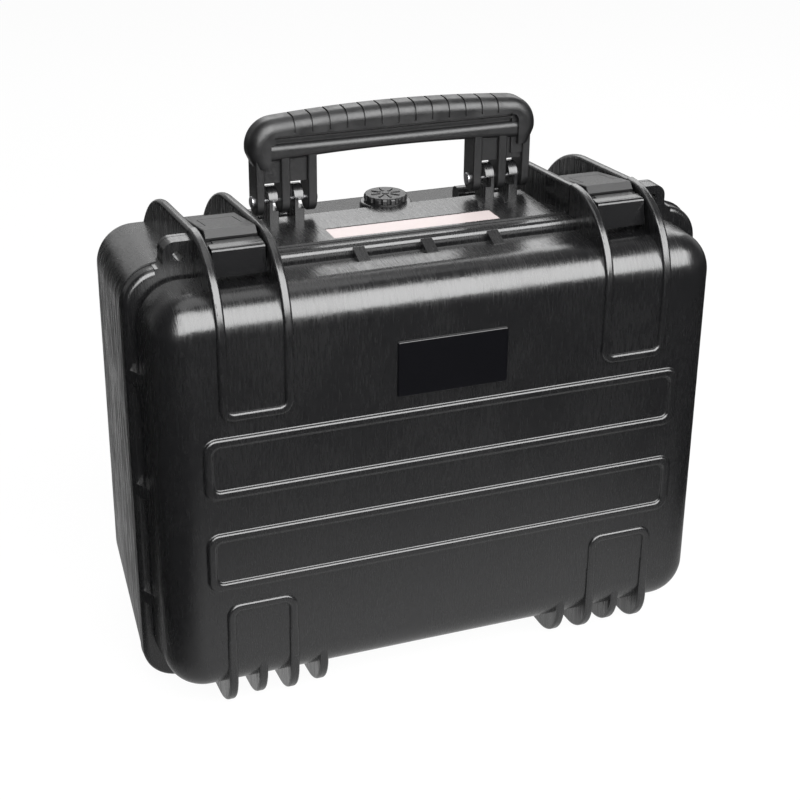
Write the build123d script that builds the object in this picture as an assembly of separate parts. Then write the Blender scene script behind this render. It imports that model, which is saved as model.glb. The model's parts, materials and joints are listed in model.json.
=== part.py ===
"""Waterproof carrying case that stands on its hinge side, lid to the front.

Frame: X to the right, Y from the lid face to the back, Z up.  The origin is on the
standing surface, in the middle of the case's depth.  The functions measure y from the
plane where lid and base part, and SHIFT_Y moves the finished shapes to the frame.
Sections of the body are given as (half width, bottom z, top z, corner radius).
"""
import os
from math import cos, pi, sin

from build123d import *

# ---------------------------------------------------------------- driving dimensions
LID_DEPTH = 62.5            # parting plane to the front of the raised beads
BASE_DEPTH = 142.5          # parting plane to the back
SHIFT_Y = (LID_DEPTH - BASE_DEPTH) / 2

# body sections: half width, bottom, top, corner radius
BASE_RIM = (208.0, 5.0, 314.5, 26.0)
BASE_BACK = (195.4, 21.5, 295.7, 28.0)
BASE_BACK_ROUND = 22.0
LID_LIP = (208.5, 5.0, 312.8, 26.0)
LID_NECK = (199.0, 15.5, 304.2, 27.0)
LID_BODY = (201.0, 15.5, 306.0, 29.0)
LID_FACE = (199.6, 17.5, 304.4, 28.0)
LID_SHOULDER = 24.0
CAVITY_RIM = (195.0, 19.0, 302.5, 18.0)
BASE_CAVITY_BACK = (190.4, 26.5, 290.7, 21.0)
LID_CAVITY_FACE = (193.5, 22.0, 300.6, 18.0)
BASE_WALL = 5.0
LID_WALL = 4.5

PARTING_GAP = 0.6
SEAM = 0.08                 # ribs start just behind the parting plane
LIP_FRONT = -11.0
NECK_FRONT = -14.5
BEAD_HEIGHT = 2.0
FACE_Y = -LID_DEPTH + BEAD_HEIGHT

# seal and the tongue that presses it
SEAL_SECTION = (201.0, 11.0, 307.0, 21.0)
SEAL_GROOVE_WIDTH = 5.2
SEAL_WIDTH = 4.8
SEAL_GROOVE_DEPTH = 5.0
SEAL_STAND_OFF = 1.2
TONGUE_WIDTH = 2.4
TONGUE_HEIGHT = 1.4

# ribs and beads, one pair at each side
RIB_X = (114.0, 158.0)
RIB_THICK = 6.5
RIB_TOP = 334.0
RIB_BEND = (72.0, 329.2)    # where the straight crest of a base rib turns down, (y, z)
RIB_BACK = (134.0, 291.0)   # where its curved back meets the base
CREST_ROUND = 2.7
BEAD_EDGE = 2.1
BEAD_ROOT = 57.0            # beads are rooted inside the wall, this far in front of the parting plane
FIN_X = (91.8, 114.0, 136.0, 158.0)
FIN_ROUND = 27.0
LONG_FRAMES = ((168.0, 211.8), (99.0, 142.4))
LONG_FRAME_HALF = 172.8
LONG_FRAME_WIDTH = 6.2
LONG_FRAME_ROUND = 9.0
UPPER_FRAME_LOW = 222.8
LOWER_FRAME_TOP = 87.2
FRAME_ROUND = 10.0

# hinge
HINGE_Y, HINGE_Z = 9.0, 6.0
KNUCKLE_R = 6.0
PIN_R = 2.0
RUNNING = 0.05
BASE_FOOT_X = (102.9, 125.0, 147.0)
BASE_FOOT_THICK = 7.0
BASE_FOOT_BACK = 102.0
BASE_FOOT_ROUND = 13.5
BASE_FOOT_TOP = 24.0
HINGE_PIN_ENDS = (86.0, 162.5)

# plateau with handle, valve and name plate
PLATEAU_HALF = 102.0
PLATEAU_BACK = 57.0
PLATEAU_Z = 314.5
VALVE_Y = 66.6
VALVE_BOSS_R = 18.5
NAME_PLATE = (121.6, 20.0)
NAME_PLATE_Y = 12.5
NAME_PLATE_THICK = 0.9
NAME_PLATE_SINK = 0.5

# padlock ears
EAR_HOLE_X, EAR_HOLE_Z, EAR_HOLE_R = 171.0, 320.5, 3.5
EAR_OUT_X, EAR_TOP, EAR_ROUND = 180.8, 330.0, 8.0
EAR_ROOT = 4.5              # concave round where an ear grows out of the rim
EAR_BACK = 3.5

# handle
HANDLE_Y, HANDLE_Z = 54.0, 328.0
LUG_X = (71.0, 89.2)
LUG_THICK = 7.0
LUG_TOP = 338.5
LUG_R = 9.2
LUG_WINDOW = (322.9, 330.6)
LUG_WEB = 2.7
LEG_PLATES = ((58.0, 64.5), (77.0, 83.5), (95.3, 101.3))
LEG_R = 9.3
GRIP_HALF = 105.3
GRIP_TOP = 389.7
GRIP_ROUND = 20.0
GRIP_DROP = 5.2
GRIP_LOW = 375.5
GRIP_END_Z = 353.0
GRIP_DEPTH = 23.0
GRIP_GROOVES = 13
GROOVE_PITCH = 12.4
GROOVE_WIDTH = 1.3
GROOVE_DEEP = 1.0
BAR_TOP, BAR_LOW = 369.0, 357.0
BAR_HALF = 90.8
BAR_ARCH = 3.0              # rise of the bar's underside over the fingers

# latches
LATCH_X = 136.0
LATCH_HALF = 17.5
LATCH_PIN_Y, LATCH_PIN_Z = 35.0, 320.5
LATCH_PIN_SEAT = 1.5        # how far the pin passes the middle of each rib, in a blind hole
LEVER_PIN_Y, LEVER_PIN_Z = -15.5, 325.0
LEVER_HUB = 4.1
KEEPER = (-19.5, -14.0, 303.0, 314.4)
CLAW_GAP = 1.0
GROOVE_LINE = 0.55          # fine outline of the tongue on top of the latch
GROOVE_LINE_DEEP = 0.6

# badge
BADGE = (79.0, 39.6)
BADGE_Z = 241.7
BADGE_THICK = 1.5

# foam
FOAM_CLEAR = 0.6
FOAM_FRONT = 5.0
FOAM_BACK = 122.0
LID_FOAM_BACK = -22.0


# ---------------------------------------------------------------- helpers
def section(y, dims):
    """Rounded rectangle of the body, square to Y."""
    half, low, high, radius = dims
    face = RectangleRounded(2 * half, high - low, radius)
    return Plane.XZ.offset(-y) * Pos(0, (low + high) / 2) * face


def inset(dims, amount):
    half, low, high, radius = dims
    return (half - amount, low + amount, high - amount, max(radius - amount, 1.0))


def between(dims_a, dims_b, part):
    """Section at a share of the way from one section to the other."""
    return tuple(a + (b - a) * part for a, b in zip(dims_a, dims_b))


def block(y_a, dims_a, y_b, dims_b, end_round=0.0):
    """Tapered body between two sections, with the far end rounded over."""
    solid = loft([section(y_a, dims_a), section(y_b, dims_b)], ruled=True)
    if end_round:
        faces = solid.faces().sort_by(Axis.Y)
        end = faces[-1] if y_b > y_a else faces[0]
        solid = fillet(end.edges(), end_round)
    return solid


def ring(y_a, y_b, dims, width):
    """Rounded rectangular ring of the given wall width, centred on a section."""
    face = section(max(y_a, y_b), inset(dims, -width / 2))
    face = face - section(max(y_a, y_b), inset(dims, width / 2))
    return extrude(face, amount=abs(y_b - y_a))


def side_plate(edges, x, thick, edge_round=0.0):
    """Plate square to X from a closed outline in (y, z)."""
    face = Plane.YZ.offset(x) * make_face(edges)
    solid = extrude(face, amount=thick / 2, both=True)
    if edge_round:
        solid = fillet(solid.faces().filter_by(Axis.X).edges(), edge_round)
    return solid


def box(x_a, x_b, y_a, y_b, z_a, z_b):
    size = (abs(x_b - x_a), abs(y_b - y_a), abs(z_b - z_a))
    middle = ((x_a + x_b) / 2, (y_a + y_b) / 2, (z_a + z_b) / 2)
    return Pos(*middle) * Box(*size)


def rod(x_a, x_b, y, z, radius):
    """Cylinder along X."""
    turned = Pos((x_a + x_b) / 2, y, z) * Rot(0, 90, 0)
    return turned * Cylinder(radius, abs(x_b - x_a))


def post(x, y, z_a, z_b, radius):
    """Cylinder along Z."""
    return Pos(x, y, (z_a + z_b) / 2) * Cylinder(radius, abs(z_b - z_a))


def bore_y(x, z, y_a, y_b, radius):
    """Cylinder along Y."""
    return Pos(x, (y_a + y_b) / 2, z) * Rot(90, 0, 0) * Cylinder(radius, abs(y_b - y_a))


def both_sides(solid):
    return [solid, mirror(solid, Plane.YZ)]


def joined(first, others):
    return first.fuse(*others)


def cut(first, others):
    return first.cut(*others)


# ---------------------------------------------------------------- base
def base_top_rib(x):
    """Tall rib beside a latch, with a straight crest and a curved back."""
    root = 12.0
    outline = Polyline((SEAM, 300), (SEAM, RIB_TOP), RIB_BEND)
    outline += ThreePointArc(RIB_BEND, (104, 319.3), RIB_BACK)
    outline += Polyline(RIB_BACK, (RIB_BACK[0], RIB_BACK[1] - root), (SEAM, 300))
    rib = side_plate(outline, x, RIB_THICK)
    crest = rib.faces().filter_by(Axis.X).edges()
    crest = crest.filter_by(lambda e: e.center().Z > 305 and e.center().Y > 1)
    return fillet(crest, CREST_ROUND)


def ear(y_a, y_b):
    """Padlock ear beside the outer rib, rounded at its outer top corner and at its root."""
    low, rim_z = 300.0, BASE_RIM[2] - 1.2
    outline = Polyline(
        (RIB_X[1], low),
        (RIB_X[1], EAR_TOP),
        (EAR_OUT_X, EAR_TOP),
        (EAR_OUT_X, rim_z),
        (EAR_OUT_X + EAR_ROOT + 1, rim_z),
        (EAR_OUT_X + EAR_ROOT + 1, low),
        (RIB_X[1], low),
    )
    face = make_face(outline)
    outer = face.vertices().group_by(Axis.Y)[-1].sort_by(Axis.X)[-1]
    face = fillet(outer, EAR_ROUND)
    root = face.vertices().sort_by_distance((EAR_OUT_X, rim_z))[0]
    face = fillet(root, EAR_ROOT)
    return extrude(Plane.XZ.offset(-max(y_a, y_b)) * face, amount=abs(y_b - y_a))


def handle_lug(x):
    """Hooked lug: a web with a roof over the pin and a block below it."""
    front, back = HANDLE_Y - LUG_R, HANDLE_Y + LUG_R
    root = 299.5
    outline = Polyline((front, LUG_TOP - LUG_R), (front, root), (back, root), (back, LUG_TOP - LUG_R))
    outline += ThreePointArc((back, LUG_TOP - LUG_R), (HANDLE_Y, LUG_TOP), (front, LUG_TOP - LUG_R))
    lug = side_plate(outline, x, LUG_THICK, 0.6)
    window = box(x - LUG_THICK / 2 - 1, x + LUG_THICK / 2 - LUG_WEB, front - 1, back + 1, *LUG_WINDOW)
    lug = lug - window
    return lug - rod(x - 10, x + 10, HANDLE_Y, HANDLE_Z, PIN_R + RUNNING)


def base_foot(x):
    """Foot fin under the base that also carries the hinge pin."""
    round_r, high = BASE_FOOT_ROUND, BASE_FOOT_TOP
    outline = Polyline((HINGE_Y, 0), (BASE_FOOT_BACK - round_r, 0))
    outline += ThreePointArc(
        (BASE_FOOT_BACK - round_r, 0),
        (BASE_FOOT_BACK - round_r + round_r * sin(pi / 4), round_r * (1 - cos(pi / 4))),
        (BASE_FOOT_BACK, round_r),
    )
    outline += Polyline((BASE_FOOT_BACK, round_r), (BASE_FOOT_BACK, high), (HINGE_Y, high - 3))
    outline += Polyline((HINGE_Y, high - 3), (HINGE_Y - KNUCKLE_R, high - 6), (HINGE_Y - KNUCKLE_R, HINGE_Z))
    corner = KNUCKLE_R * cos(pi / 4)
    outline += ThreePointArc(
        (HINGE_Y - KNUCKLE_R, HINGE_Z), (HINGE_Y - corner, HINGE_Z - corner), (HINGE_Y, HINGE_Z - KNUCKLE_R)
    )
    return side_plate(outline, x, BASE_FOOT_THICK, 1.0)


def plateau():
    """Level platform that carries the handle, the valve and the name plate."""
    deck = Pos(0, PLATEAU_BACK / 2) * Rectangle(2 * PLATEAU_HALF, PLATEAU_BACK)
    deck = deck + Pos(0, VALVE_Y) * Circle(VALVE_BOSS_R)
    solid = extrude(Plane.XY.offset(295) * deck, amount=PLATEAU_Z - 295)
    rim = solid.faces().sort_by(Axis.Z)[-1].edges().filter_by(lambda e: e.center().Y > 0.5)
    return fillet(rim, 1.6)


def base_shell():
    shell = block(0, BASE_RIM, BASE_DEPTH, BASE_BACK, BASE_BACK_ROUND)
    shell = shell + plateau()
    stops = box(62, 97, 79, 91, 296, 312)
    stops = fillet(stops.edges().filter_by(Axis.X).group_by(Axis.Z)[-1], 5.5)
    features = []
    for x in RIB_X:
        features += both_sides(base_top_rib(x))
    for x in LUG_X:
        features += both_sides(handle_lug(x))
    for x in BASE_FOOT_X:
        features += both_sides(base_foot(x))
    features += both_sides(ear(0, EAR_BACK))
    features += both_sides(stops)
    shell = joined(shell, features)
    shell = shell + ring(0, -TONGUE_HEIGHT, SEAL_SECTION, TONGUE_WIDTH)
    cavity = block(0, CAVITY_RIM, BASE_DEPTH - BASE_WALL, BASE_CAVITY_BACK, 15.0)
    cavity = cavity + extrude(section(0, CAVITY_RIM), amount=TONGUE_HEIGHT + 1)
    shell = shell - cavity
    holes = []
    for x in FIN_X:
        pocket = box(x - 4.1, x + 4.1, HINGE_Y - 6.6, HINGE_Y + 6.6, -1, HINGE_Z + 6.8)
        front_way = box(x - 4.1, x + 4.1, -1, HINGE_Y, -1, 5.4)
        holes += both_sides(pocket) + both_sides(front_way)
    holes += both_sides(rod(*HINGE_PIN_ENDS, HINGE_Y, HINGE_Z, PIN_R + 0.01))
    near, far = RIB_X[0] - LATCH_PIN_SEAT, RIB_X[1] + LATCH_PIN_SEAT
    holes += both_sides(rod(near - 0.3, far + 0.3, LATCH_PIN_Y, LATCH_PIN_Z, PIN_R + 0.01))
    holes += both_sides(bore_y(EAR_HOLE_X, EAR_HOLE_Z, -1, EAR_BACK + 30, EAR_HOLE_R))
    recess = Pos(0, NAME_PLATE_Y, PLATEAU_Z) * Box(*NAME_PLATE, 2 * (NAME_PLATE_THICK + NAME_PLATE_SINK))
    holes.append(recess)
    holes.append(post(0, VALVE_Y, 280, 330, 9.0))
    holes.append(post(0, VALVE_Y, 280, 306, 15.5))
    o_groove = post(0, VALVE_Y, PLATEAU_Z - 2.2, PLATEAU_Z + 1, 13.1)
    o_groove = o_groove - post(0, VALVE_Y, PLATEAU_Z - 3, PLATEAU_Z + 2, 10.3)
    holes.append(o_groove)
    return cut(shell, holes)


# ---------------------------------------------------------------- lid
def lid_top_rib(x):
    """Rib that runs from the parting plane over the shoulder and down the face."""
    back = -PARTING_GAP
    crest = Polyline((back, 303), (back, RIB_TOP + 0.6), (-8, RIB_TOP + 0.4))
    sweep_over = ThreePointArc((-8, RIB_TOP + 0.4), (-45.5, 317.5), (-LID_DEPTH, 277))
    down = Polyline((-LID_DEPTH, 277), (-LID_DEPTH, 232), (-57, 232), (-57, 262), (-30, 303), (back, 303))
    return side_plate(crest + sweep_over + down, x, RIB_THICK, BEAD_EDGE)


def corner_frame(z_closed, z_open):
    """U-shaped bead between a pair of ribs, closed at one end, a hair slimmer than the ribs."""
    leg = RIB_THICK - 0.3
    middle = (RIB_X[0] + RIB_X[1]) / 2
    width = RIB_X[1] - RIB_X[0] + leg
    height = abs(z_open - z_closed)
    end = 0 if z_closed < z_open else -1
    outer = Rectangle(width, height)
    outer = fillet(outer.vertices().group_by(Axis.Y)[end], FRAME_ROUND)
    inner = Rectangle(width - 2 * leg, height)
    inner = fillet(inner.vertices().group_by(Axis.Y)[end], FRAME_ROUND - leg)
    step = leg if z_closed < z_open else -leg
    face = outer - Pos(0, step) * inner
    front = LID_DEPTH - 0.1
    plane = Plane.XZ.offset(BEAD_ROOT) * Pos(middle, (z_open + z_closed) / 2)
    solid = extrude(plane * face, amount=front - BEAD_ROOT)
    return fillet(solid.faces().sort_by(Axis.Y)[0].edges(), BEAD_EDGE)


def long_frame(low, high):
    """Long raised bead around a flat panel of the lid face."""
    face = RectangleRounded(2 * LONG_FRAME_HALF, high - low, LONG_FRAME_ROUND)
    hole = RectangleRounded(
        2 * (LONG_FRAME_HALF - LONG_FRAME_WIDTH),
        high - low - 2 * LONG_FRAME_WIDTH,
        LONG_FRAME_ROUND - LONG_FRAME_WIDTH + 2,
    )
    plane = Plane.XZ.offset(BEAD_ROOT) * Pos(0, (low + high) / 2)
    solid = extrude(plane * (face - hole), amount=LID_DEPTH - BEAD_ROOT)
    return fillet(solid.faces().sort_by(Axis.Y)[0].edges(), 1.9)


def lid_fin(x, top, front):
    """Foot fin of the lid with the hinge knuckle at its tail."""
    centre_y = front + FIN_ROUND
    slope = FIN_ROUND * cos(pi / 4)
    arm_top = 4.8
    corner = KNUCKLE_R * cos(pi / 4)
    outline = Polyline((-50, top), (front, top), (front, FIN_ROUND))
    outline += ThreePointArc((front, FIN_ROUND), (centre_y - slope, FIN_ROUND - slope), (centre_y, 0))
    outline += Line((centre_y, 0), (HINGE_Y, 0))
    outline += ThreePointArc((HINGE_Y, 0), (HINGE_Y + KNUCKLE_R, HINGE_Z), (HINGE_Y, 2 * HINGE_Z))
    outline += ThreePointArc(
        (HINGE_Y, 2 * HINGE_Z),
        (HINGE_Y - corner, HINGE_Z + corner),
        (HINGE_Y - (KNUCKLE_R**2 - (HINGE_Z - arm_top) ** 2) ** 0.5, arm_top),
    )
    tail = HINGE_Y - (KNUCKLE_R**2 - (HINGE_Z - arm_top) ** 2) ** 0.5
    outline += Polyline((tail, arm_top), (-PARTING_GAP, arm_top), (-PARTING_GAP, 13), (-30, 16), (-50, top))
    return side_plate(outline, x, RIB_THICK, 1.8)


def lip_tab(x):
    """Cross tab that bridges the groove between lip and body."""
    outline = Polyline((-6, 301), (-6, 312.3), (-8.6, 312.0), (-22.5, 306.1), (-22.5, 301), (-6, 301))
    return side_plate(outline, x, 8.2, 0.0)


def side_tab(z):
    edge = LID_LIP[0] - 0.4
    outline = Polyline((199, -6), (edge, -6), (edge - 0.3, -8.6), (200.9, -22.5), (197, -22.5), (199, -6))
    return extrude(Plane.XY.offset(z) * make_face(outline), amount=4.5, both=True)


def keeper():
    """Bar between the lid ribs that the latch claw hooks over."""
    y_front, y_back, low, high = KEEPER
    bar = box(RIB_X[0], RIB_X[1], y_front, y_back, low, high)
    return fillet(bar.edges().filter_by(Axis.X).group_by(Axis.Z)[-1], 1.5)


def lid_shell():
    lip = extrude(section(-PARTING_GAP, LID_LIP), amount=-LIP_FRONT - PARTING_GAP)
    lip = fillet(lip.faces().sort_by(Axis.Y)[0].edges(), 4.0)
    neck = extrude(section(LIP_FRONT + 1, LID_NECK), amount=LIP_FRONT - NECK_FRONT + 2)
    body = block(NECK_FRONT, LID_BODY, FACE_Y, LID_FACE, LID_SHOULDER)
    body = fillet(body.faces().sort_by(Axis.Y)[-1].edges(), 0.8)
    shell = lip + neck + body
    for low, high in LONG_FRAMES:
        shell = shell + long_frame(low, high)
    panel_foot = shell.edges().filter_by(lambda e: abs(e.center().Y - FACE_Y) < 0.01)
    panel_foot = panel_foot.filter_by(lambda e: abs(e.center().X) < 173.5 and 98 < e.center().Z < 213)
    shell = fillet(panel_foot, 1.1)
    features = []
    for x in RIB_X:
        features += both_sides(lid_top_rib(x))
    features += both_sides(corner_frame(UPPER_FRAME_LOW, 252.0))
    features += both_sides(corner_frame(LOWER_FRAME_TOP, 48.0))
    for number, x in enumerate(FIN_X):
        on_frame = number % 2 == 1
        fin_top = 60.0 if on_frame else 40.0
        fin_front = -LID_DEPTH if on_frame else -LID_DEPTH + 2.6
        features += both_sides(lid_fin(x, fin_top, fin_front))
    features += both_sides(ear(-PARTING_GAP, LIP_FRONT))
    features += both_sides(keeper())
    for z in (76.0, 159.0, 242.0):
        features += both_sides(side_tab(z))
    for x in (-48.5, 0.0, 48.5):
        features.append(lip_tab(x))
    shell = joined(shell, features)
    cavity = block(0, CAVITY_RIM, -LID_DEPTH + BEAD_HEIGHT + LID_WALL, LID_CAVITY_FACE, LID_SHOULDER - 6)
    shell = shell - cavity
    shell = shell - ring(1, -SEAL_GROOVE_DEPTH - PARTING_GAP, SEAL_SECTION, SEAL_GROOVE_WIDTH)
    holes = both_sides(rod(*HINGE_PIN_ENDS, HINGE_Y, HINGE_Z, PIN_R + RUNNING))
    holes += both_sides(bore_y(EAR_HOLE_X, EAR_HOLE_Z, 1, LIP_FRONT - 12, EAR_HOLE_R))
    return cut(shell, holes)


def lid_seal():
    back = -PARTING_GAP - SEAL_STAND_OFF
    seal = ring(back, -PARTING_GAP - SEAL_GROOVE_DEPTH, SEAL_SECTION, SEAL_WIDTH)
    return fillet(seal.faces().sort_by(Axis.Y)[-1].edges(), 1.4)


def badge():
    plate = extrude(Plane.XZ.offset(-FACE_Y) * Pos(0, BADGE_Z) * RectangleRounded(*BADGE, 1.5), amount=BADGE_THICK)
    return fillet(plate.faces().sort_by(Axis.Y)[0].edges(), 0.9)


# ---------------------------------------------------------------- handle
def handle_core():
    """Rigid frame of the handle: bar, inner web, legs with their plates."""
    side = Polyline((BAR_HALF, BAR_LOW), (BAR_HALF, BAR_TOP), (-BAR_HALF, BAR_TOP), (-BAR_HALF, BAR_LOW))
    side += ThreePointArc((-BAR_HALF, BAR_LOW), (0, BAR_LOW + BAR_ARCH), (BAR_HALF, BAR_LOW))
    bar = extrude(Plane.XZ.offset(-HANDLE_Y) * make_face(side), amount=10, both=True)
    long_edges = bar.faces().filter_by(Axis.Y).edges().filter_by(lambda e: abs(e.center().X) < 1)
    bar = fillet(long_edges, 4.0)
    web = box(-BAR_HALF, BAR_HALF, HANDLE_Y - 6, HANDLE_Y + 6, BAR_TOP - 3, GRIP_LOW + 6)
    ridge = box(-BAR_HALF, BAR_HALF, HANDLE_Y - 8.2, HANDLE_Y + 8.2, 371.4, 372.8)
    core = bar + web + ridge
    for near, far in LEG_PLATES:
        middle = (near + far) / 2
        outline = Polyline((HANDLE_Y - LEG_R, HANDLE_Z), (HANDLE_Y - LEG_R, 362), (HANDLE_Y + LEG_R, 362))
        outline += Line((HANDLE_Y + LEG_R, 362), (HANDLE_Y + LEG_R, HANDLE_Z))
        outline += ThreePointArc(
            (HANDLE_Y + LEG_R, HANDLE_Z), (HANDLE_Y, HANDLE_Z - LEG_R), (HANDLE_Y - LEG_R, HANDLE_Z)
        )
        plate = side_plate(outline, middle, far - near, 1.2)
        core = joined(core, both_sides(plate))
    yoke = box(LEG_PLATES[0][0] + 1, LEG_PLATES[2][1] - 1, HANDLE_Y - 6.5, HANDLE_Y + 6.5, 342, 360)
    horn = box(BAR_HALF - 4, LEG_PLATES[2][1], HANDLE_Y - 8, HANDLE_Y + 8, 346, 379)
    horn = fillet(horn.edges().filter_by(Axis.Y).group_by(Axis.Z)[-1].sort_by(Axis.X)[-1], 8)
    core = joined(core, both_sides(yoke) + both_sides(horn))
    return cut(core, both_sides(rod(50, 110, HANDLE_Y, HANDLE_Z, PIN_R + 0.01)))


def handle_grip(core):
    """Soft strap over the bar, wrapped down both ends, with cross grooves."""
    end_top = GRIP_TOP - GRIP_DROP
    outline = ThreePointArc((-GRIP_HALF, end_top), (0, GRIP_TOP), (GRIP_HALF, end_top))
    outline += Polyline((GRIP_HALF, end_top), (GRIP_HALF, 363), (GRIP_HALF - 4.5, GRIP_END_Z))
    outline += Line((GRIP_HALF - 4.5, GRIP_END_Z), (4.5 - GRIP_HALF, GRIP_END_Z))
    outline += Polyline((4.5 - GRIP_HALF, GRIP_END_Z), (-GRIP_HALF, 363), (-GRIP_HALF, end_top))
    half_depth = GRIP_DEPTH / 2
    face = make_face(outline)
    face = fillet(face.vertices().group_by(Axis.Y)[-1], GRIP_ROUND)
    face = fillet(face.vertices().group_by(Axis.Y)[1], 10.0)
    strap = extrude(Plane.XZ.offset(-HANDLE_Y) * face, amount=half_depth, both=True)
    upper = strap.faces().filter_by(Axis.Y).edges().filter_by(lambda e: e.center().Z > GRIP_END_Z + 1)
    strap = fillet(upper, 8.0)
    window = box(-BAR_HALF, BAR_HALF, 0, 120, 300, GRIP_LOW)
    window = fillet(window.edges().filter_by(Axis.Y).group_by(Axis.Z)[-1], 6.0)
    strap = strap - window
    for number in range(GRIP_GROOVES):
        x = (number - (GRIP_GROOVES - 1) / 2) * GROOVE_PITCH
        crest = GRIP_TOP - GRIP_DROP * (x / GRIP_HALF) ** 2
        band = box(x - GROOVE_WIDTH / 2, x + GROOVE_WIDTH / 2, 30, 80, GRIP_LOW + 1.5, 400)
        depth = GRIP_DEPTH - 2 * GROOVE_DEEP
        keep = box(x - 2, x + 2, HANDLE_Y - depth / 2, HANDLE_Y + depth / 2, 370, crest - GROOVE_DEEP)
        keep = fillet(keep.edges().filter_by(Axis.X).group_by(Axis.Z)[-1], 7.5)
        strap = strap - (band - keep)
    return strap - core


def handle_pin(side):
    """Rivet pin with a round head at each end."""
    near, far = LEG_PLATES[0][0], LEG_PLATES[2][1]
    pin = rod(near - 0.2, far + 0.2, HANDLE_Y, HANDLE_Z, PIN_R)
    for x_a, x_b in ((near - 2.0, near), (far, far + 2.0)):
        head = rod(x_a, x_b, HANDLE_Y, HANDLE_Z, 4.2)
        outer = head.faces().sort_by(Axis.X)[0 if x_a < near else -1]
        pin = pin + fillet(outer.edges(), 1.2)
    return pin if side > 0 else mirror(pin, Plane.YZ)


# ---------------------------------------------------------------- latches
def latch_body(side):
    """Outer arm of the latch, hinged on the base ribs."""
    low = 322.4
    top = Polyline((40.0, 327.4), (-9.5, 335.0), (-13.6, 330.6))
    under = Polyline((-13.6, 330.6), (-12.4, low), (26, low), (27, 317.2))
    hub = ThreePointArc((27, 317.2), (LATCH_PIN_Y, LATCH_PIN_Z - 7), (41.4, 322.5))
    outline = top + under + hub + Line((41.4, 322.5), (40.0, 327.4))
    arm = side_plate(outline, LATCH_X, 2 * LATCH_HALF)
    front_edges = arm.edges().filter_by(Axis.X).filter_by(lambda e: e.center().Z > 326)
    arm = fillet(front_edges.sort_by(Axis.Y)[-1], 1.5)
    ends = arm.faces().filter_by(Axis.X).edges().filter_by(lambda e: e.center().Z > 331)
    arm = chamfer(ends, 0.5)
    pocket_outline = Polyline((24, 310), (24, 325.8), (-7.6, 330.8), (-9.0, 326), (-9.0, 310), (24, 310))
    pocket = side_plate(pocket_outline, LATCH_X, 2 * LATCH_HALF - 7)
    arm = arm - pocket
    for x in (LATCH_X - LATCH_HALF + 1.6, LATCH_X + LATCH_HALF - 1.6):
        cheek = rod(x - 1.6, x + 1.6, LEVER_PIN_Y, LEVER_PIN_Z, LEVER_HUB - 0.2)
        link = box(x - 1.6, x + 1.6, LEVER_PIN_Y, -8, LEVER_PIN_Z - 4.2, LEVER_PIN_Z + 2.2)
        arm = arm + cheek + link
    hub_space = rod(
        LATCH_X - LATCH_HALF + 3.2, LATCH_X + LATCH_HALF - 3.2, LEVER_PIN_Y, LEVER_PIN_Z, LEVER_HUB + 0.5
    )
    arm = arm - hub_space
    arm = arm - rod(LATCH_X - 30, LATCH_X + 30, LEVER_PIN_Y, LEVER_PIN_Z, 1.5 + 0.01)
    arm = arm - rod(LATCH_X - 30, LATCH_X + 30, LATCH_PIN_Y, LATCH_PIN_Z, PIN_R + RUNNING)
    slope = Plane(origin=(LATCH_X, 14.0, 331.4), x_dir=(1, 0, 0), z_dir=(0, 0.1517, 0.9884))
    tongue_half, tongue_front, tongue_back = 12.0, -9.3, 12.8
    line = GROOVE_LINE
    middle, length = (tongue_front + tongue_back) / 2, tongue_back - tongue_front
    groove = Pos(0, tongue_back) * Rectangle(2 * tongue_half + line, line)
    for end in (-1, 1):
        groove = groove + Pos(end * tongue_half, middle) * Rectangle(line, length)
        groove = groove + Pos(end * (tongue_half + 3.5), tongue_front) * Rectangle(7 + line, line)
    arm = arm - extrude(slope * groove, amount=GROOVE_LINE_DEEP, both=True)
    return arm if side > 0 else mirror(arm, Plane.YZ)


def latch_lever(side):
    """Trigger lever with the claw that draws the lid's keeper."""
    wide = 2 * LATCH_HALF
    inner = wide - 6.8
    skin = Polyline((-20.6, 329.2), (-25.4, 328.6), (-25.9, 328.0), (-26.4, 328.6))
    skin += ThreePointArc((-26.4, 328.6), (-28.6, 328.3), (-29.6, 326.4))
    skin += Polyline((-29.6, 326.4), (-32.2, 310.6), (-29.4, 310.4), (-26.8, 325.2), (-20.6, 326.2))
    skin += Line((-20.6, 326.2), (-20.6, 329.2))
    lever = side_plate(skin, LATCH_X, wide)
    hub = rod(LATCH_X - inner / 2, LATCH_X + inner / 2, LEVER_PIN_Y, LEVER_PIN_Z, LEVER_HUB)
    strap = Polyline((-16, 329.5), (-21, 329.1), (-21, 325.8), (-16, 324), (-16, 329.5))
    lever = lever + hub + side_plate(strap, LATCH_X, inner)
    claw_y = KEEPER[0] - CLAW_GAP
    claw = Polyline((claw_y, 323.5), (claw_y, 311), (claw_y - 1.5, 310.5), (claw_y - 3, 311.4), (claw_y - 3, 326.5))
    claw += Polyline((claw_y - 3, 326.5), (-17, 327.5), (claw_y, 323.5))
    lever = lever + side_plate(claw, LATCH_X, inner - 4)
    spring_space = rod(LATCH_X - 4.5, LATCH_X + 4.5, LEVER_PIN_Y, LEVER_PIN_Z, LEVER_HUB + 0.6)
    below = box(LATCH_X - 4.5, LATCH_X + 4.5, -21, -9, 318, LEVER_PIN_Z + 2.2)
    roof = box(LATCH_X - 4.5, LATCH_X + 4.5, -20, -10, LEVER_PIN_Z + 3.2, 332)
    lever = lever - ((spring_space + below) - roof)
    lever = lever - rod(LATCH_X - 30, LATCH_X + 30, LEVER_PIN_Y, LEVER_PIN_Z, 1.5 + RUNNING)
    return lever if side > 0 else mirror(lever, Plane.YZ)


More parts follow.
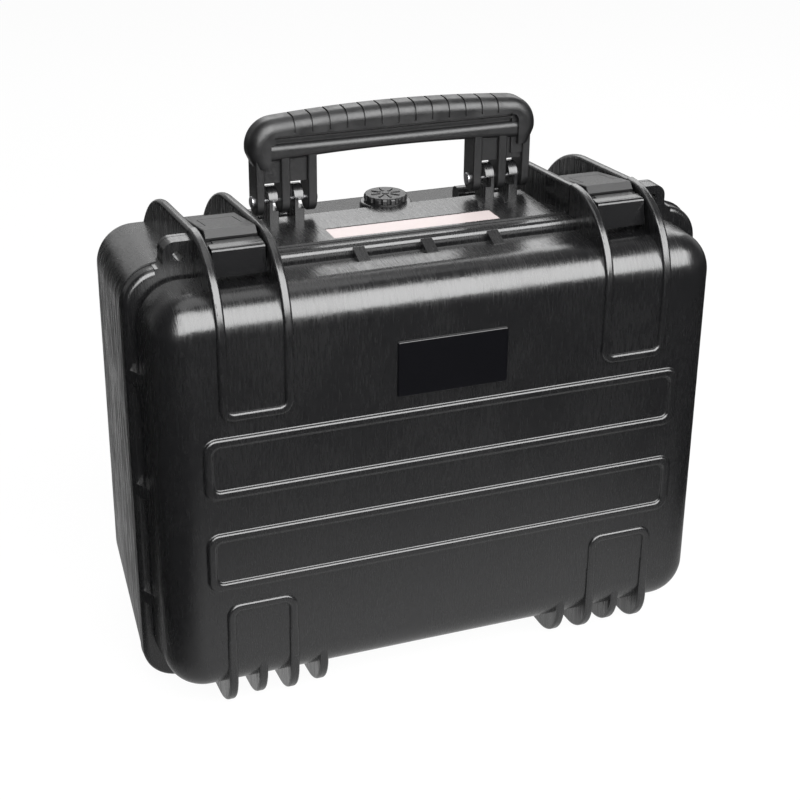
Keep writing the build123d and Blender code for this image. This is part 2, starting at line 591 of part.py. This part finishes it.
def latch_spring(side):
    """Torsion spring around the lever pin."""
    turns, wire, pitch, radius = 4, 0.8, 1.15, 2.15
    path = Helix(pitch, turns * pitch, radius)
    start = Plane(origin=path @ 0, z_dir=path % 0)
    coil = sweep(start * Circle(wire / 2), path=path)
    place = Pos(LATCH_X - turns * pitch / 2, LEVER_PIN_Y, LEVER_PIN_Z) * Rot(0, 90, 0)
    coil = place * coil
    return coil if side > 0 else mirror(coil, Plane.YZ)


def latch_pin(side):
    pin = rod(RIB_X[0] - LATCH_PIN_SEAT, RIB_X[1] + LATCH_PIN_SEAT, LATCH_PIN_Y, LATCH_PIN_Z, PIN_R)
    return pin if side > 0 else mirror(pin, Plane.YZ)


def lever_pin(side):
    pin = rod(LATCH_X - LATCH_HALF + 0.3, LATCH_X + LATCH_HALF - 0.3, LEVER_PIN_Y, LEVER_PIN_Z, 1.5)
    return pin if side > 0 else mirror(pin, Plane.YZ)


def hinge_pin(side):
    pin = rod(*HINGE_PIN_ENDS, HINGE_Y, HINGE_Z, PIN_R)
    pin = chamfer(pin.edges().filter_by(GeomType.CIRCLE), 0.4)
    return pin if side > 0 else mirror(pin, Plane.YZ)


# ---------------------------------------------------------------- valve and name plate
def valve_knob():
    """Fluted purge knob with a rounded brim and a raised star on its face."""
    low, high, radius, flutes, flute_r = 315.6, 319.6, 15.4, 16, 1.9
    knob = post(0, VALVE_Y, low, high, radius)
    knob = fillet(knob.faces().sort_by(Axis.Z)[-1].edges(), 1.8)
    for number in range(flutes):
        angle = 2 * pi * (number + 0.5) / flutes
        x, y = (radius + 0.6) * cos(angle), VALVE_Y + (radius + 0.6) * sin(angle)
        knob = knob - post(x, y, low - 1, high + 1, flute_r)
    for number in range(8):
        arm = Pos(7.4, 0) * Rectangle(6.5, 1.5)
        spoke = extrude(Plane.XY.offset(high - 0.5) * Pos(0, VALVE_Y) * Rot(0, 0, 45 * number) * arm, amount=1.1)
        knob = knob + spoke
    knob = knob + post(0, VALVE_Y, high - 0.5, high + 0.6, 2.6)
    return knob + post(0, VALVE_Y, 309.5, low + 0.5, 4.5)


def valve_body():
    body = post(0, VALVE_Y, PLATEAU_Z, PLATEAU_Z + 0.8, 15.0)
    body = body + post(0, VALVE_Y, 297.6, PLATEAU_Z + 0.1, 8.9)
    body = body - post(0, VALVE_Y, 303.2, 320, 5.0)
    return body - post(0, VALVE_Y, 290, 305, 3.0)


def valve_nut():
    nut = extrude(Plane.XY.offset(300.5) * Pos(0, VALVE_Y) * RegularPolygon(14.5, 6), amount=5.5)
    return nut - post(0, VALVE_Y, 295, 310, 8.95)


def valve_o_ring():
    o_ring = post(0, VALVE_Y, PLATEAU_Z - 2.2, PLATEAU_Z, 12.9)
    o_ring = o_ring - post(0, VALVE_Y, PLATEAU_Z - 3, PLATEAU_Z + 1, 10.5)
    return fillet(o_ring.edges().filter_by(GeomType.CIRCLE), 0.9)


def valve_membrane():
    return post(0, VALVE_Y, 303.2, 304.0, 4.9)


def name_plate():
    plate = RectangleRounded(NAME_PLATE[0] - 0.6, NAME_PLATE[1] - 0.6, 1.0)
    floor = PLATEAU_Z - NAME_PLATE_THICK - NAME_PLATE_SINK
    return extrude(Plane.XY.offset(floor) * Pos(0, NAME_PLATE_Y) * plate, amount=NAME_PLATE_THICK)


# ---------------------------------------------------------------- foam
def pocket(width, height, radius, x, z, depth):
    face = Plane.XZ.offset(-(FOAM_FRONT + depth)) * Pos(x, z) * RectangleRounded(width, height, radius)
    return extrude(face, amount=depth + 1)


def base_foam():
    """Foam block with two long microphone pockets and three accessory pockets."""
    depth = BASE_DEPTH - BASE_WALL
    front = inset(between(CAVITY_RIM, BASE_CAVITY_BACK, FOAM_FRONT / depth), FOAM_CLEAR)
    back = inset(between(CAVITY_RIM, BASE_CAVITY_BACK, FOAM_BACK / depth), FOAM_CLEAR)
    foam = block(FOAM_FRONT, front, FOAM_BACK, back)
    pockets = [
        pocket(62, 200, 28, -142, 160, 70),
        pocket(62, 200, 28, -62, 160, 70),
        pocket(96, 96, 47, 42, 212, 80),
        pocket(70, 96, 18, 140, 212, 60),
        pocket(166, 78, 12, 88, 92, 70),
    ]
    return cut(foam, pockets)


def base_pad():
    """Thin foam sheet behind the block."""
    dims = inset(BASE_CAVITY_BACK, 16.0)
    return block(FOAM_BACK + 0.3, dims, BASE_DEPTH - BASE_WALL - 0.3, dims)


def lid_foam():
    front = FACE_Y + LID_WALL + 0.3
    share = LID_FOAM_BACK / (FACE_Y + LID_WALL)
    back_dims = inset(between(CAVITY_RIM, LID_CAVITY_FACE, share), FOAM_CLEAR)
    return block(LID_FOAM_BACK, back_dims, front, inset(LID_CAVITY_FACE, FOAM_CLEAR), LID_SHOULDER - 7)


# ---------------------------------------------------------------- export
def all_parts():
    core = handle_core()
    parts = {
        "base_shell": base_shell(),
        "lid_shell": lid_shell(),
        "lid_seal": lid_seal(),
        "badge": badge(),
        "name_plate": name_plate(),
        "handle_core": core,
        "handle_grip": handle_grip(core),
        "valve_knob": valve_knob(),
        "valve_body": valve_body(),
        "valve_nut": valve_nut(),
        "valve_o_ring": valve_o_ring(),
        "valve_membrane": valve_membrane(),
        "base_foam": base_foam(),
        "base_pad": base_pad(),
        "lid_foam": lid_foam(),
    }
    for name, side in (("left", -1), ("right", 1)):
        parts["latch_body_" + name] = latch_body(side)
        parts["latch_lever_" + name] = latch_lever(side)
        parts["latch_spring_" + name] = latch_spring(side)
        parts["latch_pin_" + name] = latch_pin(side)
        parts["lever_pin_" + name] = lever_pin(side)
        parts["hinge_pin_" + name] = hinge_pin(side)
        parts["handle_pin_" + name] = handle_pin(side)
    return parts


def main():
    os.makedirs("parts", exist_ok=True)
    for name, shape in all_parts().items():
        export_step(Pos(0, SHIFT_Y, 0) * shape, "parts/" + name + ".step")


main()
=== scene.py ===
"""Looks of the carrying case: finishes, convoluted lid foam, studio and camera."""

import json
import math

import bpy
from mathutils import Matrix, Vector


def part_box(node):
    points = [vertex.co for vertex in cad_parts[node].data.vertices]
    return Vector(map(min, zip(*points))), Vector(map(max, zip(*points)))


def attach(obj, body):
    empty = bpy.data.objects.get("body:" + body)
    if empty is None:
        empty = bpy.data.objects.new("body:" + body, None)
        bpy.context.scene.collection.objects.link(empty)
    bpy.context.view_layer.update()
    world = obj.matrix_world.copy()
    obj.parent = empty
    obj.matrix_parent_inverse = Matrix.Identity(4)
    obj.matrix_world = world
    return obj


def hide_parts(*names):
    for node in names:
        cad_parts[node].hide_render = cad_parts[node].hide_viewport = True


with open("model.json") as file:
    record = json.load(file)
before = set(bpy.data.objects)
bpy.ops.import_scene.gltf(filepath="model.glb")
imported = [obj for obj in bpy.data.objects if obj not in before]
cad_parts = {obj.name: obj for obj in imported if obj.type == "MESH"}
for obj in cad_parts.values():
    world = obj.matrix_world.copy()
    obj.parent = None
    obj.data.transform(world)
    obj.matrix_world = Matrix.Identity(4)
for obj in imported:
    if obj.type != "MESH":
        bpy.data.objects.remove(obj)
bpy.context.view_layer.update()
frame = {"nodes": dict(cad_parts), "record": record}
nodes = frame["nodes"]

# ------------------------------------------------------------------ values
# The blacks and the label are written darker than the real ones, because the lamps are above
# the plain level: about three times on the lid's front, a little over twice on what faces up.
BLACK_CASE = (0.0042, 0.0042, 0.0045)
BLACK_TRIM = (0.004, 0.004, 0.0043)
BLACK_RUBBER = (0.0045, 0.0045, 0.0048)
BLACK_GLOSS = (0.002, 0.002, 0.0025)
BLACK_SEAL = (0.02, 0.02, 0.021)
LABEL = (0.40, 0.35, 0.345)
FOAM = (0.022, 0.022, 0.024)
STEEL = (0.42, 0.42, 0.43)
MEMBRANE = (0.75, 0.75, 0.72)

NOISE_LOW, NOISE_HIGH = 0.3, 0.7           # most of a noise texture lies between these
SIDE_START, SIDE_END = 0.72, 0.93          # how far a face turns sideways as its streaks change
LEVER_FRONT, LEVER_BACK = -0.063, -0.060   # where, along y, the levers' smooth fronts end

FOAM_MARGIN = 0.0005                       # room between the foam sheet and its solid
FOAM_PITCH = 0.030                         # length of one wave of the egg-crate
FOAM_RELIEF = 0.014                        # from peak to valley
FOAM_CORNER = 0.017                        # radius of the sheet's corners
FOAM_DRAWN_IN = 0.0125                     # how far the back is set in at the sides
FOAM_EDGE_FALL = 14                        # how steeply the waves fade out at the edge
FOAM_COLUMNS, FOAM_ROWS = 130, 96

CAMERA_PLACE = Vector((-0.41244, -1.04632, 0.69566))
CAMERA_RIGHT = Vector((0.93132, -0.36406, 0.01000))
CAMERA_UP = Vector((0.14586, 0.39801, 0.90571))
CAMERA_LENS = 76.33

FLOOR_REACH = 6.0
FLOOR_COLOUR = (0.8, 0.8, 0.8)
FLOOR_WHITE_SHARE = 0.95                   # the rest is shading, so the shadow is faint
LEFT_STRETCH = -1.35                       # the floor's painted pool of light, an emission, ends sooner on the left
WORLD_STRENGTH = 0.3                       # as it lights matt surfaces


# ------------------------------------------------------------------ node helpers
class Graph:
    """Small builder around one node tree."""

    def __init__(self, tree):
        self.tree = tree

    def node(self, kind, **settings):
        made = self.tree.nodes.new(kind)
        for key, value in settings.items():
            setattr(made, key, value)
        return made

    def link(self, source, target):
        self.tree.links.new(source, target)

    def value(self, socket, number):
        """Sets a socket to a number or links an output to it."""
        if isinstance(number, bpy.types.NodeSocket):
            self.link(number, socket)
        else:
            socket.default_value = number

    def split(self, vector):
        """The X, Y and Z outputs of a vector."""
        parts = self.node("ShaderNodeSeparateXYZ")
        self.link(vector, parts.inputs[0])
        return parts.outputs

    def math(self, operation, a, b=0.0):
        made = self.node("ShaderNodeMath", operation=operation)
        self.value(made.inputs[0], a)
        self.value(made.inputs[1], b)
        return made.outputs[0]

    def ramp(self, value, low_in, high_in, low_out, high_out):
        made = self.node("ShaderNodeMapRange", interpolation_type="SMOOTHSTEP")
        self.value(made.inputs["Value"], value)
        for key, number in (
            ("From Min", low_in), ("From Max", high_in), ("To Min", low_out), ("To Max", high_out)
        ):
            made.inputs[key].default_value = number
        return made.outputs["Result"]

    def blend(self, factor, a, b):
        """Mix of two numbers."""
        made = self.node("ShaderNodeMix", data_type="FLOAT")
        self.value(made.inputs[0], factor)
        self.value(made.inputs[2], a)
        self.value(made.inputs[3], b)
        return made.outputs[0]

    def mix_shader(self, factor, a, b):
        made = self.node("ShaderNodeMixShader")
        self.link(factor, made.inputs[0])
        self.link(a, made.inputs[1])
        self.link(b, made.inputs[2])
        return made.outputs[0]


class Shader(Graph):
    """Builder of one procedural material."""

    def __init__(self, name):
        self.material = bpy.data.materials.new(name)
        self.material.use_nodes = True
        super().__init__(self.material.node_tree)
        self.bsdf = self.tree.nodes["Principled BSDF"]
        self.coord = self.node("ShaderNodeTexCoord")

    def noise(self, scale, detail=3.0, roughness=0.55, distortion=0.0, turn=(0.0, 0.0, 0.0)):
        """Noise over object coordinates that are turned and stretched."""
        mapping = self.node("ShaderNodeMapping")
        mapping.inputs["Rotation"].default_value = turn
        mapping.inputs["Scale"].default_value = scale
        self.link(self.coord.outputs["Object"], mapping.inputs["Vector"])
        made = self.node("ShaderNodeTexNoise")
        made.inputs["Scale"].default_value = 1.0
        made.inputs["Detail"].default_value = detail
        made.inputs["Roughness"].default_value = roughness
        made.inputs["Distortion"].default_value = distortion
        self.link(mapping.outputs["Vector"], made.inputs["Vector"])
        return made.outputs["Fac"]

    def cells(self, scale):
        """Distance to the nearest of many scattered points."""
        made = self.node("ShaderNodeTexVoronoi", feature="F1")
        made.inputs["Scale"].default_value = scale
        self.link(self.coord.outputs["Object"], made.inputs["Vector"])
        return made.outputs["Distance"]

    def spread(self, noise, low_out, high_out):
        """A noise texture brought to a range of its own."""
        return self.ramp(noise, NOISE_LOW, NOISE_HIGH, low_out, high_out)

    def tint(self, colour, factor, amount):
        """A colour that swings by a share of itself with a texture."""
        made = self.node("ShaderNodeMix", data_type="RGBA")
        self.value(made.inputs[0], factor)
        made.inputs[6].default_value = (*[c * (1 - amount) for c in colour], 1)
        made.inputs[7].default_value = (*[c * (1 + amount) for c in colour], 1)
        return made.outputs[2]

    def bump(self, height, distance, strength, normal=None):
        made = self.node("ShaderNodeBump")
        made.inputs["Distance"].default_value = distance
        made.inputs["Strength"].default_value = strength
        self.link(height, made.inputs["Height"])
        if normal is not None:
            self.link(normal, made.inputs["Normal"])
        return made.outputs["Normal"]

    def finish(self, colour, roughness, normal, specular, metallic=0.0, sheen=0.0):
        inputs = self.bsdf.inputs
        self.link(colour, inputs["Base Color"])
        self.link(roughness, inputs["Roughness"])
        self.link(normal, inputs["Normal"])
        inputs["Specular IOR Level"].default_value = specular
        inputs["Metallic"].default_value = metallic
        inputs["Sheen Weight"].default_value = sheen
        return self.material


# ------------------------------------------------------------------ finishes
def streaks(shader):
    """Fine drawn streaks: up and over the front, and stronger ones on the side walls."""
    front = shader.noise((900, 90, 90), 3.0, 0.6, 0.25, (0, math.radians(8), 0))
    side = shader.noise((60, 230, 34), 3.0, 0.6, 0.25, (math.radians(4), 0, 0))
    side = shader.ramp(side, 0.2, 0.8, -0.4, 1.4)
    across = shader.split(shader.coord.outputs["Normal"])["X"]
    sideways = shader.ramp(shader.math("ABSOLUTE", across), SIDE_START, SIDE_END, 0.0, 1.0)
    return shader.blend(sideways, front, side)


def case_plastic():
    """Moulded shell: drawn streaks, with broad clouds, mottle and fine grain."""
    shader = Shader("case_plastic")
    drawn = streaks(shader)
    cloud = shader.noise((14, 14, 9), 3.0, 0.6, 0.6)
    mottle = shader.noise((260, 260, 200), 3.0, 0.6, 0.4)
    grain = shader.noise((1500, 1500, 1500), 2.0)
    rough = shader.math("ADD", shader.spread(drawn, 0.20, 0.30), shader.spread(cloud, -0.03, 0.04))
    normal = shader.bump(drawn, 0.00015, 0.6)
    normal = shader.bump(mottle, 0.00005, 0.4, normal)
    normal = shader.bump(grain, 0.00002, 0.5, normal)
    return shader.finish(shader.tint(BLACK_CASE, mottle, 0.25), rough, normal, 0.85)


def grained_plastic():
    """Spark-eroded grain of the latches, knob and handle frame, smoother on the latch levers."""
    shader = Shader("trim_plastic")
    fine = shader.noise((900, 900, 900), 3.0, 0.6)
    height = shader.math("ADD", shader.cells(1150), fine)
    depth = shader.split(shader.coord.outputs["Object"])["Y"]
    lever = shader.ramp(depth, LEVER_FRONT, LEVER_BACK, 1.0, 0.0)
    grained = shader.spread(fine, 0.34, 0.48)
    smooth = shader.spread(fine, 0.12, 0.18)
    rough = shader.blend(lever, grained, smooth)
    normal = shader.bump(height, 0.00005, 0.6)
    return shader.finish(shader.tint(BLACK_TRIM, fine, 0.3), rough, normal, 0.6)


def rubber():
    """Strap of the handle, worn in patches."""
    shader = Shader("grip_rubber")
    fine = shader.noise((700, 700, 700), 4.0, 0.6)
    worn = shader.noise((60, 60, 60), 3.0, 0.6, 0.5)
    patches = shader.ramp(worn, 0.35, 0.65, 0.36, 0.50)
    rough = shader.math("ADD", patches, shader.spread(fine, -0.03, 0.03))
    normal = shader.bump(fine, 0.00004, 0.6)
    return shader.finish(shader.tint(BLACK_RUBBER, worn, 0.25), rough, normal, 0.6)


def seal_rubber():
    shader = Shader("seal_rubber")
    skin = shader.noise((900, 900, 900), 3.0, 0.6)
    rough = shader.spread(skin, 0.55, 0.7)
    normal = shader.bump(skin, 0.00008, 0.5)
    return shader.finish(shader.tint(BLACK_SEAL, skin, 0.2), rough, normal, 0.4)


def badge_gloss():
    shader = Shader("badge_gloss")
    wave = shader.noise((45, 45, 45), 2.0)
    dust = shader.noise((500, 500, 500), 4.0, 0.7)
    rough = shader.ramp(dust, 0.45, 0.8, 0.07, 0.2)
    normal = shader.bump(wave, 0.0004, 0.15)
    return shader.finish(shader.tint(BLACK_GLOSS, dust, 0.2), rough, normal, 0.5)


def label_plate():
    shader = Shader("label_plate")
    mottle = shader.noise((90, 90, 90), 3.0, 0.6)
    fibre = shader.noise((700, 700, 700), 3.0, 0.6)
    rough = shader.spread(fibre, 0.4, 0.5)
    normal = shader.bump(fibre, 0.00004, 0.4)
    return shader.finish(shader.tint(LABEL, mottle, 0.02), rough, normal, 0.4)


def steel():
    """Pins and springs, with fine lines along x."""
    shader = Shader("steel")
    lines = shader.noise((60, 2600, 2600), 3.0, 0.6)
    rough = shader.spread(lines, 0.25, 0.42)
    normal = shader.bump(lines, 0.00003, 0.5)
    return shader.finish(shader.tint(STEEL, lines, 0.15), rough, normal, 0.5, metallic=1.0)


def membrane():
    shader = Shader("membrane")
    weave = shader.noise((2500, 2500, 2500), 2.0)
    rough = shader.spread(weave, 0.7, 0.9)
    normal = shader.bump(weave, 0.00004, 0.5)
    return shader.finish(shader.tint(MEMBRANE, weave, 0.1), rough, normal, 0.3)


def foam():
    """Open-cell foam: small pits with painted shade in them, larger lumps and a soft sheen."""
    shader = Shader("foam")
    lump = shader.noise((160, 160, 160), 4.0, 0.6)
    pits = shader.ramp(shader.cells(900), 0.15, 0.6, 0.0, 1.0)
    rough = shader.spread(lump, 0.85, 0.98)
    normal = shader.bump(shader.math("ADD", pits, lump), 0.0004, 0.7)
    # The colour is darker at the bottom of each pit: painted shade in the hollows.
    return shader.finish(shader.tint(FOAM, pits, 0.45), rough, normal, 0.25, sheen=0.15)


finishes = {
    "case_plastic": case_plastic(),
    "trim_plastic": grained_plastic(),
    "grip_rubber": rubber(),
    "seal_rubber": seal_rubber(),
    "badge_gloss": badge_gloss(),
    "label_plate": label_plate(),
    "steel": steel(),
    "membrane": membrane(),
    "foam": foam(),
}
for part in frame["record"]["subparts"]:
    mesh = nodes[part["node"]].data
    mesh.materials.clear()
    mesh.materials.append(finishes[part["material_slot"]])


def plain_mesh(name, verts, faces):
    mesh = bpy.data.meshes.new(name)
    mesh.from_pydata(verts, [], faces)
    mesh.update()
    made = bpy.data.objects.new(name, mesh)
    bpy.context.scene.collection.objects.link(made)
    return made


# ------------------------------------------------------------------ convoluted lid foam
def foam_points():
    """Points over the wavy front of the lid foam, row by row, and then over its flat back."""
    near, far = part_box("lid_foam")
    back, peak = near.y + FOAM_MARGIN, far.y - FOAM_MARGIN
    valley = peak - FOAM_RELIEF
    left, right = near.x + FOAM_MARGIN, far.x - FOAM_MARGIN
    bottom, top = near.z + FOAM_MARGIN, far.z - FOAM_MARGIN
    half_x, half_z = (right - left) / 2, (top - bottom) / 2
    mid_x, mid_z = (right + left) / 2, (top + bottom) / 2

    def rounded(u, v):
        """Maps a point of the unit square into the rounded rectangle."""
        x, z = u * half_x, v * half_z
        over_x, over_z = abs(x) - (half_x - FOAM_CORNER), abs(z) - (half_z - FOAM_CORNER)
        if over_x > 0 and over_z > 0:
            scale = max(over_x, over_z) / math.hypot(over_x, over_z)
            x = math.copysign(half_x - FOAM_CORNER + over_x * scale, x)
            z = math.copysign(half_z - FOAM_CORNER + over_z * scale, z)
        return mid_x + x, mid_z + z

    front = []
    for row in range(FOAM_ROWS + 1):
        for column in range(FOAM_COLUMNS + 1):
            u, v = 2 * column / FOAM_COLUMNS - 1, 2 * row / FOAM_ROWS - 1
            x, z = rounded(u, v)
            wave = math.cos(2 * math.pi * x / FOAM_PITCH) * math.cos(2 * math.pi * z / FOAM_PITCH)
            edge = min(1.0, min(1 - abs(u), 1 - abs(v)) * FOAM_EDGE_FALL)
            level = (peak + valley) / 2 + wave * (peak - valley) / 2
            front.append((x, valley + (level - valley) * edge, z))
    shrink = 1 - FOAM_DRAWN_IN / half_x
    flat = [(mid_x + (x - mid_x) * shrink, back, mid_z + (z - mid_z) * shrink) for x, _, z in front]
    return front + flat


def foam_faces():
    """Quads of the front and back, and of the rim between them."""
    width = FOAM_COLUMNS + 1
    behind = width * (FOAM_ROWS + 1)
    faces = []
    for row in range(FOAM_ROWS):
        for column in range(FOAM_COLUMNS):
            a = row * width + column
            b = behind + a
            faces.append((a, a + 1, a + width + 1, a + width))
            faces.append((b, b + width, b + width + 1, b + 1))
    for a in range(FOAM_COLUMNS):
        b = FOAM_ROWS * width + a
        faces.append((a, behind + a, behind + a + 1, a + 1))
        faces.append((b, b + 1, behind + b + 1, behind + b))
    for row in range(FOAM_ROWS):
        a = row * width
        b = a + FOAM_COLUMNS
        faces.append((a, a + width, behind + a + width, behind + a))
        faces.append((b, behind + b, behind + b + width, b + width))
    return faces


def lid_foam_sheet():
    """Egg-crate foam that fills the lid, its peaks towards the base."""
    sheet = plain_mesh("lid_foam_sheet", foam_points(), foam_faces())
    sheet.data.polygons.foreach_set("use_smooth", [True] * len(sheet.data.polygons))
    sheet.data.materials.append(finishes["foam"])
    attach(sheet, "lid")
    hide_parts("lid_foam")


# ------------------------------------------------------------------ studio
def seen_directly(graph):
    """1 where a camera, glossy or transmission ray looks, else 0."""
    path = graph.node("ShaderNodeLightPath")
    total = path.outputs["Is Camera Ray"]
    for name in ("Is Glossy Ray", "Is Transmission Ray"):
        total = graph.math("MAXIMUM", total, path.outputs[name])
    return total


def painted_pool_of_light(graph):
    """Painted pool of light: the floor's glow as polished surfaces see it, an emission that fades to
    the sides and front.
    """
    place = graph.split(graph.node("ShaderNodeNewGeometry").outputs["Position"])
    side = graph.math("MAXIMUM", place["X"], graph.math("MULTIPLY", place["X"], LEFT_STRETCH))
    sideways = graph.ramp(side, 0.16, 0.42, 0.7, 0.02)
    forwards = graph.ramp(place["Y"], -0.50, -0.10, 0.06, 1.0)
    return graph.math("MULTIPLY", sideways, forwards)


def studio_floor():
    """White to the camera. Polished surfaces see a painted pool of light, an emission, in place of that
    white.
    """
    reach = FLOOR_REACH
    corners = [(-reach, -reach, 0), (reach, -reach, 0), (reach, reach, 0), (-reach, reach, 0)]
    floor = plain_mesh("floor", corners, [(0, 1, 2, 3)])
    material = bpy.data.materials.new("floor")
    material.use_nodes = True
    material.node_tree.nodes.clear()
    graph = Graph(material.node_tree)
    matt = graph.node("ShaderNodeBsdfDiffuse")
    matt.inputs["Color"].default_value = (*FLOOR_COLOUR, 1)
    glow = graph.node("ShaderNodeEmission")
    glow.inputs["Strength"].default_value = 1.0
    share = graph.math("MULTIPLY", seen_directly(graph), FLOOR_WHITE_SHARE)
    lit = graph.mix_shader(share, matt.outputs[0], glow.outputs[0])
    # Emission that only reflections see: the painted pool of light on the floor.
    mirrored = graph.node("ShaderNodeEmission")
    graph.link(painted_pool_of_light(graph), mirrored.inputs["Strength"])
    glossy = graph.node("ShaderNodeLightPath").outputs["Is Glossy Ray"]
    surface = graph.mix_shader(glossy, lit, mirrored.outputs[0])
    graph.link(surface, graph.node("ShaderNodeOutputMaterial").inputs["Surface"])
    floor.data.materials.append(material)


def studio_world():
    """White behind the object. Polished surfaces see it dim, most of all at the front and left."""
    world = bpy.data.worlds.new("studio")
    bpy.context.scene.world = world
    world.use_nodes = True
    graph = Graph(world.node_tree)
    background = graph.tree.nodes["Background"]
    background.inputs["Color"].default_value = (1, 1, 1, 1)
    towards = graph.split(graph.node("ShaderNodeTexCoord").outputs["Generated"])
    behind = graph.ramp(towards["Y"], 0.1, 0.8, 0.08, 0.6)
    left = graph.ramp(towards["X"], -0.5, 0.05, 0.35, 1.0)
    mirrored = graph.math("MULTIPLY", behind, left)
    path = graph.node("ShaderNodeLightPath").outputs
    unseen = graph.blend(path["Is Glossy Ray"], WORLD_STRENGTH, mirrored)
    straight = graph.math("MAXIMUM", path["Is Camera Ray"], path["Is Transmission Ray"])
    graph.link(graph.blend(straight, unseen, 1.0), background.inputs["Strength"])


def softbox(name, place, target, width, height, radiance):
    """Rectangular lamp of a given brightness, aimed at a point."""
    data = bpy.data.lights.new(name, "AREA")
    data.shape = "RECTANGLE"
    data.size = width
    data.size_y = height
    data.energy = radiance * math.pi * width * height
    lamp = bpy.data.objects.new(name, data)
    bpy.context.scene.collection.objects.link(lamp)
    lamp.location = place
    lamp.rotation_mode = "QUATERNION"
    lamp.rotation_quaternion = (Vector(target) - Vector(place)).to_track_quat("-Z", "Y")
    lamp.visible_camera = False


def studio_camera():
    data = bpy.data.cameras.new("camera")
    data.sensor_width = 36.0
    data.lens = CAMERA_LENS
    data.clip_start = 0.05
    data.clip_end = 30.0
    camera = bpy.data.objects.new("camera", data)
    bpy.context.scene.collection.objects.link(camera)
    backward = CAMERA_RIGHT.cross(CAMERA_UP)
    turn = Matrix((CAMERA_RIGHT, CAMERA_UP, backward)).transposed()
    camera.matrix_world = Matrix.Translation(CAMERA_PLACE) @ turn.to_4x4()
    bpy.context.scene.camera = camera


lid_foam_sheet()
studio_camera()
studio_floor()
studio_world()
softbox("front_softbox", (0.38, -1.22, 1.15), (0.58, -0.04, 0.22), width=2.8, height=1.54, radiance=8.0)
softbox("back_softbox", (0.65, 1.35, 1.25), (0.1, 0, 0.3), width=1.8, height=0.9, radiance=2.4)
softbox("top_softbox", (-0.1, 0.2, 1.9), (0, 0, 0.3), width=1.4, height=0.9, radiance=1.2)
bpy.context.scene.view_settings.view_transform = "Standard"
